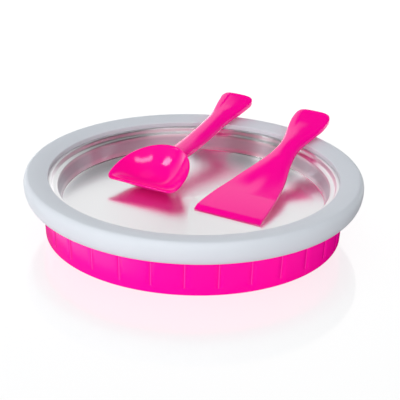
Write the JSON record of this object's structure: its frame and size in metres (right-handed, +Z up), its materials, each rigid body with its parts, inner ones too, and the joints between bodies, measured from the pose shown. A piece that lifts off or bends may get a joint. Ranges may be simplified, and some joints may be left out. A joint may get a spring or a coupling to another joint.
{
  "type": "ice cream maker",
  "caption": "Round cold-plate ice cream maker: a gel-filled tub under a shallow aluminium pan with a soft rim ring, with a scoop and a scraper resting in it.",
  "frame": {"origin": "centre of the foot of the non-slip pad, on the table", "axes": "+Z up along the axis of the round tub; -Y is the front, from which the tools' handles point away to the back right"},
  "size_m": [0.31, 0.3261, 0.077],
  "materials": {
    "non_slip_pad": "matte",
    "pink_plastic": "semi-gloss",
    "foam": "matte",
    "tank_plastic": "satin",
    "gel": "soft",
    "plug_plastic": "satin",
    "seal_rubber": "matte",
    "plate_aluminium": "satin, spun",
    "clamp_steel": "brushed",
    "ring_rubber": "soft-touch matte",
    "tool_plastic": "gloss"
  },
  "bodies": {
    "base": {"non_slip_pad": "non_slip_pad", "base_tub": "pink_plastic", "insulating_foam": "foam", "gel_tank": "tank_plastic", "freezing_gel": "gel", "fill_plug": "plug_plastic", "plug_seal": "seal_rubber", "flange_gasket": "seal_rubber", "freezing_plate": "plate_aluminium", "clamp_ring": "clamp_steel", "rim_ring": "ring_rubber"},
    "scoop": {"scoop": "tool_plastic"},
    "scraper": {"scraper": "tool_plastic"}
  },
  "joints": [
    {"name": "scoop_lift", "type": "slide", "parent": "base", "child": "scoop", "axis": [0, 0, 1], "range_m": [0, 0.1]},
    {"name": "scraper_lift", "type": "slide", "parent": "base", "child": "scraper", "axis": [0, 0, 1], "range_m": [0, 0.1]}
  ]
}
